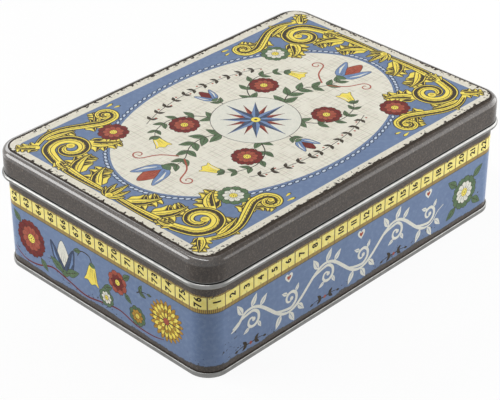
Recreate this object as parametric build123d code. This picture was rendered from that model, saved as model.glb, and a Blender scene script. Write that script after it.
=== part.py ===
"""A flat sewing tin with a lift-off lid, in millimetres.

The tin is three pieces of thin tinplate. The lid is drawn in one piece, with a rolled bead along its lower edge. The
body wall is one bent sheet, hooked to itself in a side seam at the back and curled in at the rim. The base panel hooks
round the foot of the wall in a double seam.

The origin is the middle of the foot, +X runs along a long side, +Y to the back and +Z up. A section is drawn with its
X as the distance out from the body wall's outer face and its Y as the height, then carried round the tin.
"""
from build123d import *
import os
from math import copysign, cos, radians, sin

# Whole tin
TIN_LENGTH = 230.0          # over the lid's bead
TIN_WIDTH = 160.0           # over the lid's bead
TIN_HEIGHT = 70.0           # foot to the top of the lid
SHEET = 0.25                # tinplate thickness
WALL_CORNER_RADIUS = 11.5   # outer face of the body wall

# Lid
LID_DEPTH = 16.4            # top of the lid to the underside of its bead
SHOULDER_RADIUS = 3.0       # outer bend from the panel to the skirt
BEAD_DIAMETER = 2.9
BEAD_STANDOUT = 1.1         # bead beyond the skirt
BEAD_CLEARANCE = 0.3        # bead to the body wall, all round
BEAD_NECK_ANGLE = 67.5      # lean of the skirt as it draws in above the bead
BEAD_MOUTH_ANGLE = 112.5    # where the roll stops short of closing, seen from the bead's centre

# Rim of the body wall
RIM_DIAMETER = 2.2
RIM_CURL_ANGLE = 270.0
LID_REST_CLEARANCE = 0.3    # rim to the lid's panel

# Double seam between the wall and the base
SEAM_HEIGHT = 2.8
LAYER_CLEARANCE = 0.05      # between any two layers of a hooked seam
FOOT_BEND_RADIUS = 0.45     # outer bend at each side of the flat foot
HOOK_TIP_CLEARANCE = 0.12   # end of a hook to the bottom of the fold it sits in
BASE_RECESS = 2.6           # underside of the base panel above the foot
BASE_BEND_RADIUS = 0.8      # outer bend at the edge of the base panel

# Side seam at the back of the wall
SIDE_SEAM_WIDTH = 4.0
SIDE_SEAM_JOG_ANGLE = 45.0
SIDE_SEAM_FOOT_GAP = 1.2    # above the double seam
SIDE_SEAM_HEAD_GAP = 1.2    # below the rim's curl

# Rolls and folds are drawn in flats of about these angles, within 0.03 mm of the round
ROLL_FLAT_ANGLE = 22.5
FOLD_FLAT_ANGLE = 45.0

# Worked out from the sizes above
HALF_SHEET = SHEET / 2
LAYER_PITCH = SHEET + LAYER_CLEARANCE
BEAD_REACH = BEAD_CLEARANCE + BEAD_DIAMETER
SKIRT_REACH = BEAD_REACH - BEAD_STANDOUT
WALL_LENGTH = TIN_LENGTH - 2 * BEAD_REACH
WALL_WIDTH = TIN_WIDTH - 2 * BEAD_REACH
RIM_TOP = TIN_HEIGHT - SHEET - LID_REST_CLEARANCE
RIM_CENTRE_Z = RIM_TOP - RIM_DIAMETER / 2
FOLD_OUTER_RADIUS = LAYER_PITCH + HALF_SHEET
WALL_FOLD_Z = SHEET + LAYER_CLEARANCE + FOLD_OUTER_RADIUS
BASE_FOLD_Z = SEAM_HEIGHT - FOLD_OUTER_RADIUS


def run(length):
    """A straight stretch of a sheet."""
    return length, 0, 0


def bend(angle, radius, flat_angle=0):
    """A bend of a sheet's middle line, with left turns positive, either round or in short flats."""
    return radius, angle, flat_angle


def sheet_face(start, heading, moves, offset):
    """The lines of a bent sheet's face that lies to the left of its middle line by the offset."""
    spot = Vector(*start) + Vector(0, offset).rotate(Axis.Z, heading)
    direction = Vector(1, 0).rotate(Axis.Z, heading)
    lines = []
    for size, turn, flat_angle in moves:
        if turn == 0:
            stretch = Line(spot, spot + direction * size)
        else:
            stretch = JernArc(spot, direction, size - offset * copysign(1, turn), turn)
        flats = round(abs(turn) / flat_angle) if flat_angle else 1
        corners = [stretch @ (step / flats) for step in range(flats + 1)]
        lines += [Line(*ends) for ends in zip(corners, corners[1:])] if flats > 1 else [stretch]
        spot, direction = stretch @ 1, stretch % 1
    return lines


def bent_sheet(start, heading, moves):
    """Section through a sheet whose middle line starts at a point and follows runs and bends."""
    left = sheet_face(start, heading, moves, HALF_SHEET)
    right = sheet_face(start, heading, moves, -HALF_SHEET)
    start_cut = Line(left[0] @ 0, right[0] @ 0)
    end_cut = Line(left[-1] @ 1, right[-1] @ 1)
    return make_face([*left, *right, start_cut, end_cut])


def carried_round(section):
    """Sweep a section round the body wall's outer face."""
    path = RectangleRounded(WALL_LENGTH, WALL_WIDTH, WALL_CORNER_RADIUS).wire()
    along = path % 0
    section_plane = Plane(path @ 0, x_dir=along.cross(Vector(0, 0, 1)), z_dir=-along)
    return sweep(section_plane * section, path=path)


def panel(edge, middle_z):
    """A flat sheet whose edge lies a given distance out from the body wall's outer face."""
    outline = RectangleRounded(WALL_LENGTH + 2 * edge, WALL_WIDTH + 2 * edge, WALL_CORNER_RADIUS + edge)
    return Pos(0, 0, middle_z - HALF_SHEET) * extrude(outline, SHEET)


def make_lid():
    """Flat panel, rounded shoulder, upright skirt, and a bead rolled outwards at the hem."""
    top_z = TIN_HEIGHT - HALF_SHEET
    panel_edge = SKIRT_REACH - SHOULDER_RADIUS
    bead_radius = BEAD_DIAMETER / 2 - HALF_SHEET
    bead_centre_z = TIN_HEIGHT - LID_DEPTH + BEAD_DIAMETER / 2
    draw_in = (SKIRT_REACH - HALF_SHEET) - (BEAD_CLEARANCE + HALF_SHEET)
    neck_radius = draw_in / (1 - cos(radians(BEAD_NECK_ANGLE))) - bead_radius
    neck_top_z = bead_centre_z + (bead_radius + neck_radius) * sin(radians(BEAD_NECK_ANGLE))
    section = bent_sheet((panel_edge, top_z), 0, [
        bend(-90, SHOULDER_RADIUS - HALF_SHEET),
        run(TIN_HEIGHT - SHOULDER_RADIUS - neck_top_z),
        bend(-BEAD_NECK_ANGLE, neck_radius, ROLL_FLAT_ANGLE),
        bend(BEAD_NECK_ANGLE + 360 - BEAD_MOUTH_ANGLE, bead_radius, ROLL_FLAT_ANGLE),
    ])
    return carried_round(section) + panel(panel_edge, top_z)


def side_seam():
    """The wall's two ends at the back, folded into each other, and the window that they fill."""
    wall_y = WALL_WIDTH / 2 - HALF_SHEET
    fold_x = SIDE_SEAM_WIDTH / 2 - FOLD_OUTER_RADIUS
    hook_length = 2 * fold_x - HOOK_TIP_CLEARANCE
    jog_radius = 3 * LAYER_PITCH / (2 * (1 - cos(radians(SIDE_SEAM_JOG_ANGLE))))
    jog_start_x = fold_x + 2 * jog_radius * sin(radians(SIDE_SEAM_JOG_ANGLE))
    outer_hook = bent_sheet((fold_x, wall_y), 0, [
        bend(-180, LAYER_PITCH, FOLD_FLAT_ANGLE),
        run(hook_length),
    ])
    inner_hook = bent_sheet((jog_start_x, wall_y), 180, [
        bend(SIDE_SEAM_JOG_ANGLE, jog_radius, ROLL_FLAT_ANGLE),
        bend(-SIDE_SEAM_JOG_ANGLE, jog_radius, ROLL_FLAT_ANGLE),
        run(2 * fold_x),
        bend(-180, LAYER_PITCH, FOLD_FLAT_ANGLE),
        run(hook_length),
    ])
    low_z = SEAM_HEIGHT + SIDE_SEAM_FOOT_GAP
    high_z = RIM_TOP - RIM_DIAMETER - SIDE_SEAM_HEAD_GAP
    window = Pos((fold_x + jog_start_x) / 2, wall_y, (low_z + high_z) / 2) * Box(
        jog_start_x - fold_x, 2 * SHEET, high_z - low_z)
    hooks = Pos(0, 0, low_z) * (extrude(outer_hook, high_z - low_z) + extrude(inner_hook, high_z - low_z))
    return window, hooks


def make_body_wall():
    """A hook at the foot for the double seam, the upright wall, and a rim curled inwards."""
    hook_tip_z = BASE_FOLD_Z - HOOK_TIP_CLEARANCE
    section = bent_sheet((2 * LAYER_PITCH - HALF_SHEET, hook_tip_z), -90, [
        run(hook_tip_z - WALL_FOLD_Z),
        bend(-180, LAYER_PITCH, FOLD_FLAT_ANGLE),
        run(RIM_CENTRE_Z - WALL_FOLD_Z),
        bend(RIM_CURL_ANGLE, RIM_DIAMETER / 2 - HALF_SHEET, ROLL_FLAT_ANGLE),
    ])
    window, hooks = side_seam()
    return carried_round(section) - window + hooks


def make_base_panel():
    """A recessed panel, a flat foot under the wall, and a hook turned down inside the wall's hook."""
    inside_x = -HALF_SHEET - LAYER_PITCH
    outside_x = 3 * LAYER_PITCH - HALF_SHEET
    foot_radius = FOOT_BEND_RADIUS - HALF_SHEET
    edge_radius = BASE_BEND_RADIUS - HALF_SHEET
    panel_z = BASE_RECESS + HALF_SHEET
    section = bent_sheet((inside_x - edge_radius, panel_z), 0, [
        bend(-90, edge_radius, ROLL_FLAT_ANGLE),
        run(panel_z - edge_radius - FOOT_BEND_RADIUS),
        bend(90, foot_radius, FOLD_FLAT_ANGLE),
        run(outside_x - inside_x - 2 * foot_radius),
        bend(90, foot_radius, FOLD_FLAT_ANGLE),
        run(BASE_FOLD_Z - FOOT_BEND_RADIUS),
        bend(180, LAYER_PITCH, FOLD_FLAT_ANGLE),
        run(BASE_FOLD_Z - WALL_FOLD_Z - HOOK_TIP_CLEARANCE),
    ])
    return carried_round(section) + panel(inside_x - edge_radius, panel_z)


os.makedirs("parts", exist_ok=True)
for name, piece in {
    "lid": make_lid(),
    "body_wall": make_body_wall(),
    "base_panel": make_base_panel(),
}.items():
    export_step(piece, f"parts/{name}.step")
    print(f"{name}: {piece.volume:.0f} mm3 in {len(piece.solids())} solid, valid {piece.is_valid}")
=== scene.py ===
"""Looks of the printed sewing tin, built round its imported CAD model. Lengths are in millimetres until a mesh is made."""
from math import atan2, copysign, cos, degrees, hypot, pi, radians, sin

import bpy
import numpy as np
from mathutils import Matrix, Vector
from mathutils.geometry import delaunay_2d_cdt


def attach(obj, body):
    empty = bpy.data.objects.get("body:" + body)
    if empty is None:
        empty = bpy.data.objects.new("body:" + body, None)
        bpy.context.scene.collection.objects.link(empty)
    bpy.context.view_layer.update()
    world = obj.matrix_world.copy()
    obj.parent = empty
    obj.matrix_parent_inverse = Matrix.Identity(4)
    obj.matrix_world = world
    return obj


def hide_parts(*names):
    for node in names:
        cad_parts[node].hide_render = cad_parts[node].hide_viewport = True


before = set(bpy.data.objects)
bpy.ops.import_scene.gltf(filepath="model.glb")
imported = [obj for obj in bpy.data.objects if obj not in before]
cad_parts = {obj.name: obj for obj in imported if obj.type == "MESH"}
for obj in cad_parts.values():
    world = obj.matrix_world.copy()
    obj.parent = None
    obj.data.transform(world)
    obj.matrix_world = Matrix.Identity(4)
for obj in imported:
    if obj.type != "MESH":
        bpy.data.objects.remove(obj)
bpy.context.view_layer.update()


# ---- Camera --------------------------------------------------------------------------------------
# It looks down on the tin's near corner from the photograph's side, with a long lens and no shift.
# Angles are in degrees round the tin and below the horizon.
MM = 0.001
CAMERA_AROUND, CAMERA_ABOVE, CAMERA_DISTANCE = -45.91, 31.77, 930.0
AIM_AROUND, AIM_BELOW = -45.69, 32.56
PHOTO_WIDTH_PX, FOCAL_LENGTH_PX = 500, 1730.75


def towards(around, above):
    """The direction from the tin to a viewer that stands round it and above the horizon."""
    a, e = radians(around), radians(above)
    return Vector((sin(a) * cos(e), -cos(a) * cos(e), sin(e)))


camera = bpy.data.objects.new("camera", bpy.data.cameras.new("camera"))
camera.data.sensor_width = 36.0
camera.data.lens = FOCAL_LENGTH_PX / PHOTO_WIDTH_PX * 36.0
camera.location = (Vector((0, 0, 35.0)) + towards(CAMERA_AROUND, CAMERA_ABOVE) * CAMERA_DISTANCE) * MM
camera.rotation_euler = (-towards(AIM_AROUND, AIM_BELOW)).to_track_quat("-Z", "Y").to_euler()
bpy.context.scene.collection.objects.link(camera)
bpy.context.scene.camera = camera
bpy.context.scene.view_settings.view_transform = "Standard"


# ---- Studio --------------------------------------------------------------------------------------
# A wide flat sheet of white paper under plain softboxes: a low one beside the far end of each wall
# that shows, a long narrow one overhead, and a wide one behind. The paper keeps the tin's soft shadow.
FLOOR_SIZE = 8.0
FLOOR_PAPER = (0.95, 0.95, 0.95, 1)
ROOM_LIGHT = 0.08
SOFTBOXES = {  # place and aim in metres, width and height in metres, watts
    "softbox_left": ((-0.55, 0.50, 0.30), (-0.10, 0.03, 0.03), (0.50, 0.42), 3.4),
    "softbox_right": ((0.50, -0.33, 0.25), (0.12, -0.07, 0.03), (0.90, 0.48), 4.4),
    "softbox_over": ((-0.34, 0.18, 1.12), (-0.05, 0.18, 0.07), (1.10, 0.14), 4.9),
    "softbox_back": ((0.30, 1.30, 0.90), (0.0, 0.0, 0.05), (1.0, 0.6), 5.5),
}


class Wire:
    """One socket among a surface's nodes. Arithmetic on it adds Math nodes, and node() adds any other."""

    def __init__(self, tree, socket=None):
        self.tree, self.socket = tree, socket

    def node(self, kind, settings=None, sockets=None, output=0):
        """Add a node: its settings first, then the values or wires of its sockets, by name or place."""
        made = self.tree.nodes.new(kind)
        for name, value in (settings or {}).items():
            setattr(made, name, value)
        for place, value in (sockets or {}).items():
            if isinstance(value, Wire):
                self.tree.links.new(value.socket, made.inputs[place])
            else:
                made.inputs[place].default_value = value
        return Wire(self.tree, made.outputs[output])

    def other(self, output):
        """Another output of the same node."""
        return Wire(self.tree, self.socket.node.outputs[output])

    def math(self, operation, *terms):
        return self.node("ShaderNodeMath", {"operation": operation}, dict(enumerate(terms)))

    def __add__(self, term):
        return self.math("ADD", self, term)

    def __sub__(self, term):
        return self.math("SUBTRACT", self, term)

    def __rsub__(self, term):
        return self.math("SUBTRACT", term, self)

    def __mul__(self, term):
        return self.math("MULTIPLY", self, term)

    def __truediv__(self, term):
        return self.math("DIVIDE", self, term)

    def __abs__(self):
        return self.math("ABSOLUTE", self)

    def __gt__(self, term):
        return self.math("GREATER_THAN", self, term)

    def __lt__(self, term):
        return self.math("LESS_THAN", self, term)

    __radd__, __rmul__ = __add__, __mul__

    def rise(self, low, high):
        """0 below low and 1 above high, with a smooth rise between them."""
        return self.node("ShaderNodeMapRange", {"interpolation_type": "SMOOTHSTEP"}, {0: self, 1: low, 2: high})

    def lay(self, ink, over):
        """This mask's share of an ink, laid over another colour."""
        return self.node("ShaderNodeMix", {"data_type": "RGBA"}, {0: self, 6: over, 7: ink}, 2)

    def grain(self, scale, detail=2.0, roughness=0.5):
        """Cloudy noise over this place, with so many lumps to the millimetre."""
        return self.node("ShaderNodeTexNoise", {"noise_dimensions": "3D"}, {
            "Vector": self, "Scale": scale, "Detail": detail, "Roughness": roughness})


def surface(name, **constants):
    """A new material with the numbers that are the same all over it, its shader, and a first wire."""
    material = bpy.data.materials.new(name)
    material.use_nodes = True
    shader = material.node_tree.nodes["Principled BSDF"]
    for socket, value in constants.items():
        shader.inputs[socket.replace("_", " ")].default_value = value
    return material, shader, Wire(material.node_tree)


floor_mesh = bpy.data.meshes.new("floor")
floor_mesh.from_pydata(
    [(x * FLOOR_SIZE / 2, y * FLOOR_SIZE / 2, 0) for x, y in ((-1, -1), (1, -1), (1, 1), (-1, 1))], [], [(0, 1, 2, 3)])
floor = bpy.data.objects.new("floor", floor_mesh)
bpy.context.scene.collection.objects.link(floor)
paper, paper_shader, wire = surface("white_paper", Base_Color=FLOOR_PAPER, Roughness=1.0, Specular_IOR_Level=0.0)
ray = wire.node("ShaderNodeLightPath")
seen = ray.math("MAXIMUM", ray, ray.math("MAXIMUM", ray.other(3), ray.other(6)))
glow = wire.node("ShaderNodeEmission", {}, {"Color": (1, 1, 1, 1), "Strength": 1.0})
sheet = wire.node("ShaderNodeMixShader", {}, {0: seen * 0.92, 1: Wire(wire.tree, paper_shader.outputs[0]), 2: glow})
wire.tree.links.new(sheet.socket, wire.tree.nodes["Material Output"].inputs["Surface"])
floor_mesh.materials.append(paper)

world = bpy.data.worlds.new("studio")
world.use_nodes = True
bpy.context.scene.world = world
wire = Wire(world.node_tree)
ray = wire.node("ShaderNodeLightPath")
seen = ray.math("MAXIMUM", ray, ray.math("MAXIMUM", ray.other(3), ray.other(6)))
wire.tree.links.new((seen * (1.0 - ROOM_LIGHT) + ROOM_LIGHT).socket, wire.tree.nodes["Background"].inputs["Strength"])
wire.tree.nodes["Background"].inputs["Color"].default_value = (1, 1, 1, 1)

for name, (place, aim, size, watts) in SOFTBOXES.items():
    lamp = bpy.data.objects.new(name, bpy.data.lights.new(name, "AREA"))
    lamp.data.shape = "RECTANGLE"
    lamp.data.size, lamp.data.size_y = size
    lamp.data.energy = watts
    lamp.location = place
    lamp.rotation_euler = (Vector(place) - Vector(aim)).to_track_quat("Z", "Y").to_euler()
    bpy.context.scene.collection.objects.link(lamp)


# ---- Base ----------------------------------------------------------------------------------------
# A plain tinplate panel, pressed with a flat foot, whose edge is hooked round the wall in a double
# seam. Nothing is printed on it, so the seam shows as a bright line round the foot.
TIN_LENGTH, TIN_WIDTH, TIN_HEIGHT = 230.0, 160.0, 70.0
SHEET = 0.25
LAYER_PITCH = 0.30
BEAD_REACH = 3.2
WALL_CORNER = 11.5
HALF_ACROSS = TIN_LENGTH / 2 - BEAD_REACH - WALL_CORNER
HALF_DEEP = TIN_WIDTH / 2 - BEAD_REACH - WALL_CORNER
CORNER_RUN = pi * WALL_CORNER / 2
GIRTH = 4 * (HALF_ACROSS + HALF_DEEP + CORNER_RUN)
CORNER_STEPS = 20
SEAM_HEIGHT = 2.8
FOLD_OUTER = LAYER_PITCH + SHEET / 2
WALL_FOLD_Z = SHEET + 0.05 + FOLD_OUTER
BASE_FOLD_Z = SEAM_HEIGHT - FOLD_OUTER
HOOK_TIP_CLEARANCE = 0.12
BASE_PANEL_Z = 2.6 + SHEET / 2
TIN_COLOUR, TIN_PALE = (0.185, 0.184, 0.178, 1), (0.25, 0.249, 0.242, 1)

STRETCHES = (  # how long, the corner centre at its start, its outward angle there, and whether it turns
    (HALF_ACROSS, (0, HALF_DEEP), 90, False),
    (CORNER_RUN, (-HALF_ACROSS, HALF_DEEP), 90, True),
    (2 * HALF_DEEP, (-HALF_ACROSS, HALF_DEEP), 180, False),
    (CORNER_RUN, (-HALF_ACROSS, -HALF_DEEP), 180, True),
    (2 * HALF_ACROSS, (-HALF_ACROSS, -HALF_DEEP), 270, False),
    (CORNER_RUN, (HALF_ACROSS, -HALF_DEEP), 270, True),
    (2 * HALF_DEEP, (HALF_ACROSS, -HALF_DEEP), 0, False),
    (CORNER_RUN, (HALF_ACROSS, HALF_DEEP), 0, True),
    (HALF_ACROSS, (HALF_ACROSS, HALF_DEEP), 90, False),
)


def round_tin(u, out, z):
    """The point and outward direction at a length round the wall from the back's middle, by the left side."""
    for length, (x, y), angle, turns in STRETCHES:
        if u <= length + 1e-6:
            break
        u -= length
    a = radians(angle + (90 * u / length if turns else 0))
    if not turns:
        x, y = x - sin(a) * u, y + cos(a) * u
    reach = WALL_CORNER + out
    return (x + cos(a) * reach, y + sin(a) * reach, z), (cos(a), sin(a))


def stations(*more):
    """The lengths round the wall at which a mesh has corners, with more of them if they are asked for."""
    found, u = {0.0, GIRTH, *(GIRTH * q / 4 for q in (1, 2, 3)), *more}, 0.0
    for length, _, _, turns in STRETCHES:
        found |= {u + length * i / CORNER_STEPS for i in range(CORNER_STEPS + 1)} if turns else {u}
        u += length
    merged = []
    for u in sorted(found):
        if not merged or u - merged[-1] > 1e-6:
            merged.append(u)
    return merged


def bent(start, heading, moves):
    """Both faces of a bent sheet in short lengths, as (move, start, its normal, end, its normal, length there)."""
    (x, z), h, faces = start, radians(heading), ([], [])
    along = 0.0
    for name, size, *turn in moves:
        angle, steps = (radians(turn[0]), turn[1]) if turn else (0.0, 1)
        centre = None
        if turn:
            reach = copysign(size, angle)
            centre = (x - sin(h) * reach, z + cos(h) * reach)
        for face, side in zip(faces, (1, -1)):
            for i in range(steps):
                ends = []
                for share in (i / steps, (i + 1) / steps):
                    g = h + angle * share
                    if turn:
                        middle = (centre[0] + sin(g) * reach, centre[1] - cos(g) * reach)
                    else:
                        middle = (x + cos(g) * size * share, z + sin(g) * size * share)
                    normal = (-sin(g) * side, cos(g) * side)
                    ends += [tuple(m + n * SHEET / 2 for m, n in zip(middle, normal)), normal]
                length = size * (abs(angle) if turn else 1)
                face.append((name, *ends, along + length * i / steps, along + length * (i + 1) / steps))
        along += length
        if turn:
            h += angle
            x, z = centre[0] + sin(h) * reach, centre[1] - cos(h) * reach
        else:
            x, z = x + cos(h) * size, z + sin(h) * size
    return faces


class Sheetwork:
    """The faces of one pressed piece, with their true normals, their place on the flat sheet and in its bake."""

    def __init__(self):
        self.points, self.numbers, self.faces = [], {}, []

    def corner(self, point, normal, plan, bake):
        """A corner of a face: the number of its point, its normal, and its places on the flat sheet and in the bake."""
        key = (round(point[0] * 1000), round(point[1] * 1000), round(point[2] * 1000))
        if key not in self.numbers:
            self.numbers[key] = len(self.points)
            self.points.append((point[0] * MM, point[1] * MM, point[2] * MM))
        return self.numbers[key], normal, plan, bake

    def face(self, finish, *corners):
        """A face from the makings of its corners, turned the way its normals point."""
        corners = [self.corner(*c) for c in corners]
        points = [Vector(self.points[c[0]]) for c in corners]
        across = sum(((p - points[0]).cross(q - points[0]) for p, q in zip(points[1:], points[2:])), Vector())
        if across.dot(sum((Vector(c[1]) for c in corners), Vector())) < 0:
            corners = corners[::-1]
        self.add(finish, corners)

    def add(self, finish, corners):
        if len({c[0] for c in corners}) == len(corners):
            self.faces.append((finish, corners))

    def carry(self, lengths, at, finish, bake):
        """Carry the lengths of a section round the tin between the stations."""
        for u, v in zip(at, at[1:]):
            for _, p, n, q, m, s, t in lengths:
                corners = []
                for w, (out, z), (n_out, n_z), place in ((u, p, n, s), (v, p, n, s), (v, q, m, t), (u, q, m, t)):
                    point, (ex, ey) = round_tin(w, out, z)
                    corners.append((point, (ex * n_out, ey * n_out, n_z), (w, place), bake(w, place, (u + v) / 2)))
                self.face(finish, *corners)

    def plate(self, at, out, z, up, finish, bake):
        """Close a flat panel that starts at a distance out from the wall."""
        loop = [round_tin(u, out, z)[0] for u in at[:-1]]
        self.face(finish, *[(p, (0, 0, up), (p[0], p[1]), bake(p[0], p[1])) for p in loop])

    def piece(self, name, body, node, finishes):
        """Make the mesh, which rides a body and replaces a CAD node."""
        mesh = bpy.data.meshes.new(name)
        mesh.from_pydata(self.points, [], [[c[0] for c in corners] for _, corners in self.faces])
        used = list(dict.fromkeys(f for f, _ in self.faces))
        for finish in used:
            mesh.materials.append(finishes[finish])
        place = {finish: i for i, finish in enumerate(used)}
        mesh.polygons.foreach_set("material_index", [place[f] for f, _ in self.faces])
        loops = [c for _, corners in self.faces for c in corners]
        for layer, place in (("plan", 2), ("OFBake", 3)):
            flat = np.array([c[place] for c in loops], np.float32)
            mesh.uv_layers.new(name=layer).data.foreach_set("uv", flat.ravel())
        mesh.polygons.foreach_set("use_smooth", [True] * len(mesh.polygons))
        mesh.normals_split_custom_set([c[1] for c in loops])
        made = bpy.data.objects.new(name, mesh)
        bpy.context.scene.collection.objects.link(made)
        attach(made, body)
        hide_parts(node)
        return made


def quarter_of(u):
    return min(int(u / GIRTH * 4), 3)


def strips(low, high, from_v, quarter_v):
    """Places in the bake for a band round the tin, cut in quarters that lie over each other."""
    def place(u, s, middle):
        quarter = quarter_of(middle)
        share = (s - low) / (high - low)
        return (0.01 + 0.98 * (u / GIRTH * 4 - quarter), from_v + quarter_v * (quarter + 0.06 + 0.88 * share))
    return place


def island(from_u, from_v, wide, high):
    """A place in the bake for a flat panel."""
    def place(x, y):
        return (from_u + wide * (x / TIN_LENGTH + 0.5), from_v + high * (y / TIN_WIDTH + 0.5))
    return place


def caps(sheetwork, faces, at, finish, bake):
    """Close both cut edges of a bent sheet."""
    left, right = faces
    for a, b, back in ((left[0], right[0], -1), (left[-1], right[-1], 1)):
        p, n = (a[1], a[2]) if back < 0 else (a[3], a[4])
        q = b[1] if back < 0 else b[3]
        facing = (n[1] * back, -n[0] * back)
        s = a[5] if back < 0 else a[6]
        sheetwork.carry([("cut", p, facing, q, facing, s, s)], at, finish, bake)


def plan_of(wire):
    """The place on the flat sheet in millimetres, whole and as its two parts."""
    plan = wire.node("ShaderNodeUVMap", {"uv_map": "plan"})
    along = plan.node("ShaderNodeSeparateXYZ", {}, {0: plan})
    return plan, along, along.other(1)


tinplate, shader, wire = surface("bare_tinplate", Base_Color=TIN_COLOUR, Metallic=1.0, Specular_IOR_Level=0.5)
plan, _, _ = plan_of(wire)
rolled = plan.node("ShaderNodeVectorMath", {"operation": "MULTIPLY"}, {0: plan, 1: (0.04, 1.6, 1.0)}).grain(2.2, 3, 0.6)
wire.tree.links.new((0.24 + rolled * 0.08 + plan.grain(0.09, 2) * 0.08).socket, shader.inputs["Roughness"])
tone = (plan.grain(0.22, 3, 0.6) * 0.6 + rolled * 0.4).rise(0.35, 0.65)
wire.tree.links.new(tone.lay(TIN_PALE, TIN_COLOUR).socket, shader.inputs["Base Color"])
lines = wire.node("ShaderNodeBump", {}, {"Strength": 0.03, "Distance": 0.0001, "Height": rolled})
wire.tree.links.new(lines.socket, shader.inputs["Normal"])

base = Sheetwork()
base_at = stations()
inside_x = -SHEET / 2 - LAYER_PITCH
outside_x = 3 * LAYER_PITCH - SHEET / 2
foot_radius, edge_radius = 0.45 - SHEET / 2, 0.8 - SHEET / 2
base_faces = bent((inside_x - edge_radius, BASE_PANEL_Z), 0, [
    ("edge", edge_radius, -90, 6),
    ("step", BASE_PANEL_Z - edge_radius - 0.45),
    ("foot", foot_radius, 90, 5),
    ("foot", outside_x - inside_x - 2 * foot_radius),
    ("foot", foot_radius, 90, 5),
    ("seam", BASE_FOLD_Z - 0.45),
    ("seam", LAYER_PITCH, 180, 8),
    ("hook", BASE_FOLD_Z - WALL_FOLD_Z - HOOK_TIP_CLEARANCE),
])
reach = base_faces[0][-1][-1]
for lengths, from_v in zip(base_faces, (0.60, 0.80)):
    base.carry(lengths, base_at, "tin", strips(0, reach, from_v, 0.045))
base.carry([("cut", base_faces[0][-1][3], (0, -1), base_faces[1][-1][3], (0, -1), reach, reach)],
           base_at, "tin", strips(0, reach, 0.60, 0.045))
base.plate(base_at, inside_x - edge_radius, BASE_PANEL_Z + SHEET / 2, 1, "tin", island(0.0, 0.0, 0.5, 0.6))
base.plate(base_at, inside_x - edge_radius, BASE_PANEL_Z - SHEET / 2, -1, "tin", island(0.5, 0.0, 0.5, 0.6))
base.piece("plain_base", "tin_body", "base_panel", {"tin": tinplate})


# ---- Body wall -----------------------------------------------------------------------------------
# One strip of printed tinplate, bent round four corners and hooked to itself in a side seam at the
# back, where a margin is left bare. The top edge is curled in, and the foot sits in the double seam.
RIM_TOP = TIN_HEIGHT - SHEET - 0.3
RIM_RADIUS = 1.1 - SHEET / 2
RIM_Z = RIM_TOP - 1.1
PRINT_FOOT, PRINT_HEAD = 1.5, 66.9
SEAM_FOOT, SEAM_HEAD = 4.0, 66.05
SEAM_FOLD_X = 2.0 - FOLD_OUTER
SEAM_JOG = 3 * LAYER_PITCH / (2 * (1 - cos(radians(45))))
SEAM_JOG_X = SEAM_FOLD_X + 2 * SEAM_JOG * sin(radians(45))
MARGIN = (GIRTH - 5.0, 3.0)
ART_HEAD = 50.0
TAPE_FOOT, SCALE_HEAD, TAPE_HEAD = 38.0, 40.3, 48.5
TAPE_CELLS = 76
TAPE_ZERO = HALF_ACROSS + 1.5 * CORNER_RUN + 2 * HALF_DEEP
CELL = GIRTH / TAPE_CELLS


def shade(red, green, blue):
    """A colour from its screen values, from 0 to 255."""
    return tuple(((c / 255 + 0.055) / 1.055) ** 2.4 if c > 10 else c / 255 / 12.92 for c in (red, green, blue)) + (1,)


BLUE, BLUE_PALE, BLUE_DEEP = shade(101, 124, 161), shade(126, 147, 178), shade(84, 107, 146)
DARK, DARK_PALE, DARK_DEEP = shade(66, 57, 49), shade(108, 96, 86), shade(41, 35, 30)
CREAM, CREAM_GREY = shade(229, 226, 213), shade(208, 203, 188)
YELLOW, YELLOW_PALE, SCALE_GOLD = shade(244, 226, 118), shade(249, 237, 145), shade(178, 148, 62)


def blue_print(plan):
    """Blue ink with the faint weave and pale flecks of an old poster."""
    colour = (plan.grain(0.07, 3, 0.6).rise(0.35, 0.65) * 0.35).lay(BLUE_DEEP, BLUE)
    colour = (plan.grain(0.45, 4, 0.75).rise(0.46, 0.66) * 0.6).lay(BLUE_PALE, colour)
    colour = (plan.grain(0.9, 3, 0.7).rise(0.50, 0.66) * 0.55).lay(BLUE_DEEP, colour)
    flecks = plan.grain(0.7, 4, 0.8).rise(0.63, 0.69) * plan.grain(0.05, 2).rise(0.42, 0.60)
    return (flecks * 0.6).lay(shade(176, 190, 208), colour)


def dark_print(plan):
    """Worn grey-brown board print, finely mottled and lightly scuffed."""
    colour = plan.grain(0.16, 4, 0.6).rise(0.3, 0.7).lay(DARK, shade(58, 50, 44))
    colour = (plan.grain(0.8, 4, 0.75).rise(0.48, 0.66) * 0.70).lay(DARK_PALE, colour)
    colour = (plan.grain(1.4, 3, 0.7).rise(0.50, 0.62) * 0.80).lay(DARK_DEEP, colour)
    scuffs = plan.node("ShaderNodeVectorMath", {"operation": "MULTIPLY"}, {0: plan, 1: (1.0, 0.22, 1.0)})
    return (scuffs.grain(0.9, 3, 0.7).rise(0.58, 0.70) * 0.35).lay(shade(138, 128, 118), colour)


def varnish(name, colour_of, roughness=0.36, unevenness=0.10, polished=None, gloss=0.42):
    """A printed and varnished finish whose colour is made from the plan of the sheet."""
    material, shader, wire = surface(name, Metallic=0.0, Specular_IOR_Level=gloss, Coat_Roughness=0.13, Coat_IOR=1.6)
    plan, along, up = plan_of(wire)
    wire.tree.links.new(colour_of(plan, along, up).socket, shader.inputs["Base Color"])
    rough = plan.grain(0.7, 3, 0.6) * unevenness + (roughness - unevenness / 2)
    wire.tree.links.new(rough.socket, shader.inputs["Roughness"])
    if polished:
        wire.tree.links.new(polished(plan, along, up).socket, shader.inputs["Coat Weight"])
    ripple = plan.grain(0.9, 2, 0.5)
    skin = wire.node("ShaderNodeBump", {}, {"Strength": 0.05, "Distance": 0.0002, "Height": ripple})
    wire.tree.links.new(skin.socket, shader.inputs["Normal"])
    return material


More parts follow.
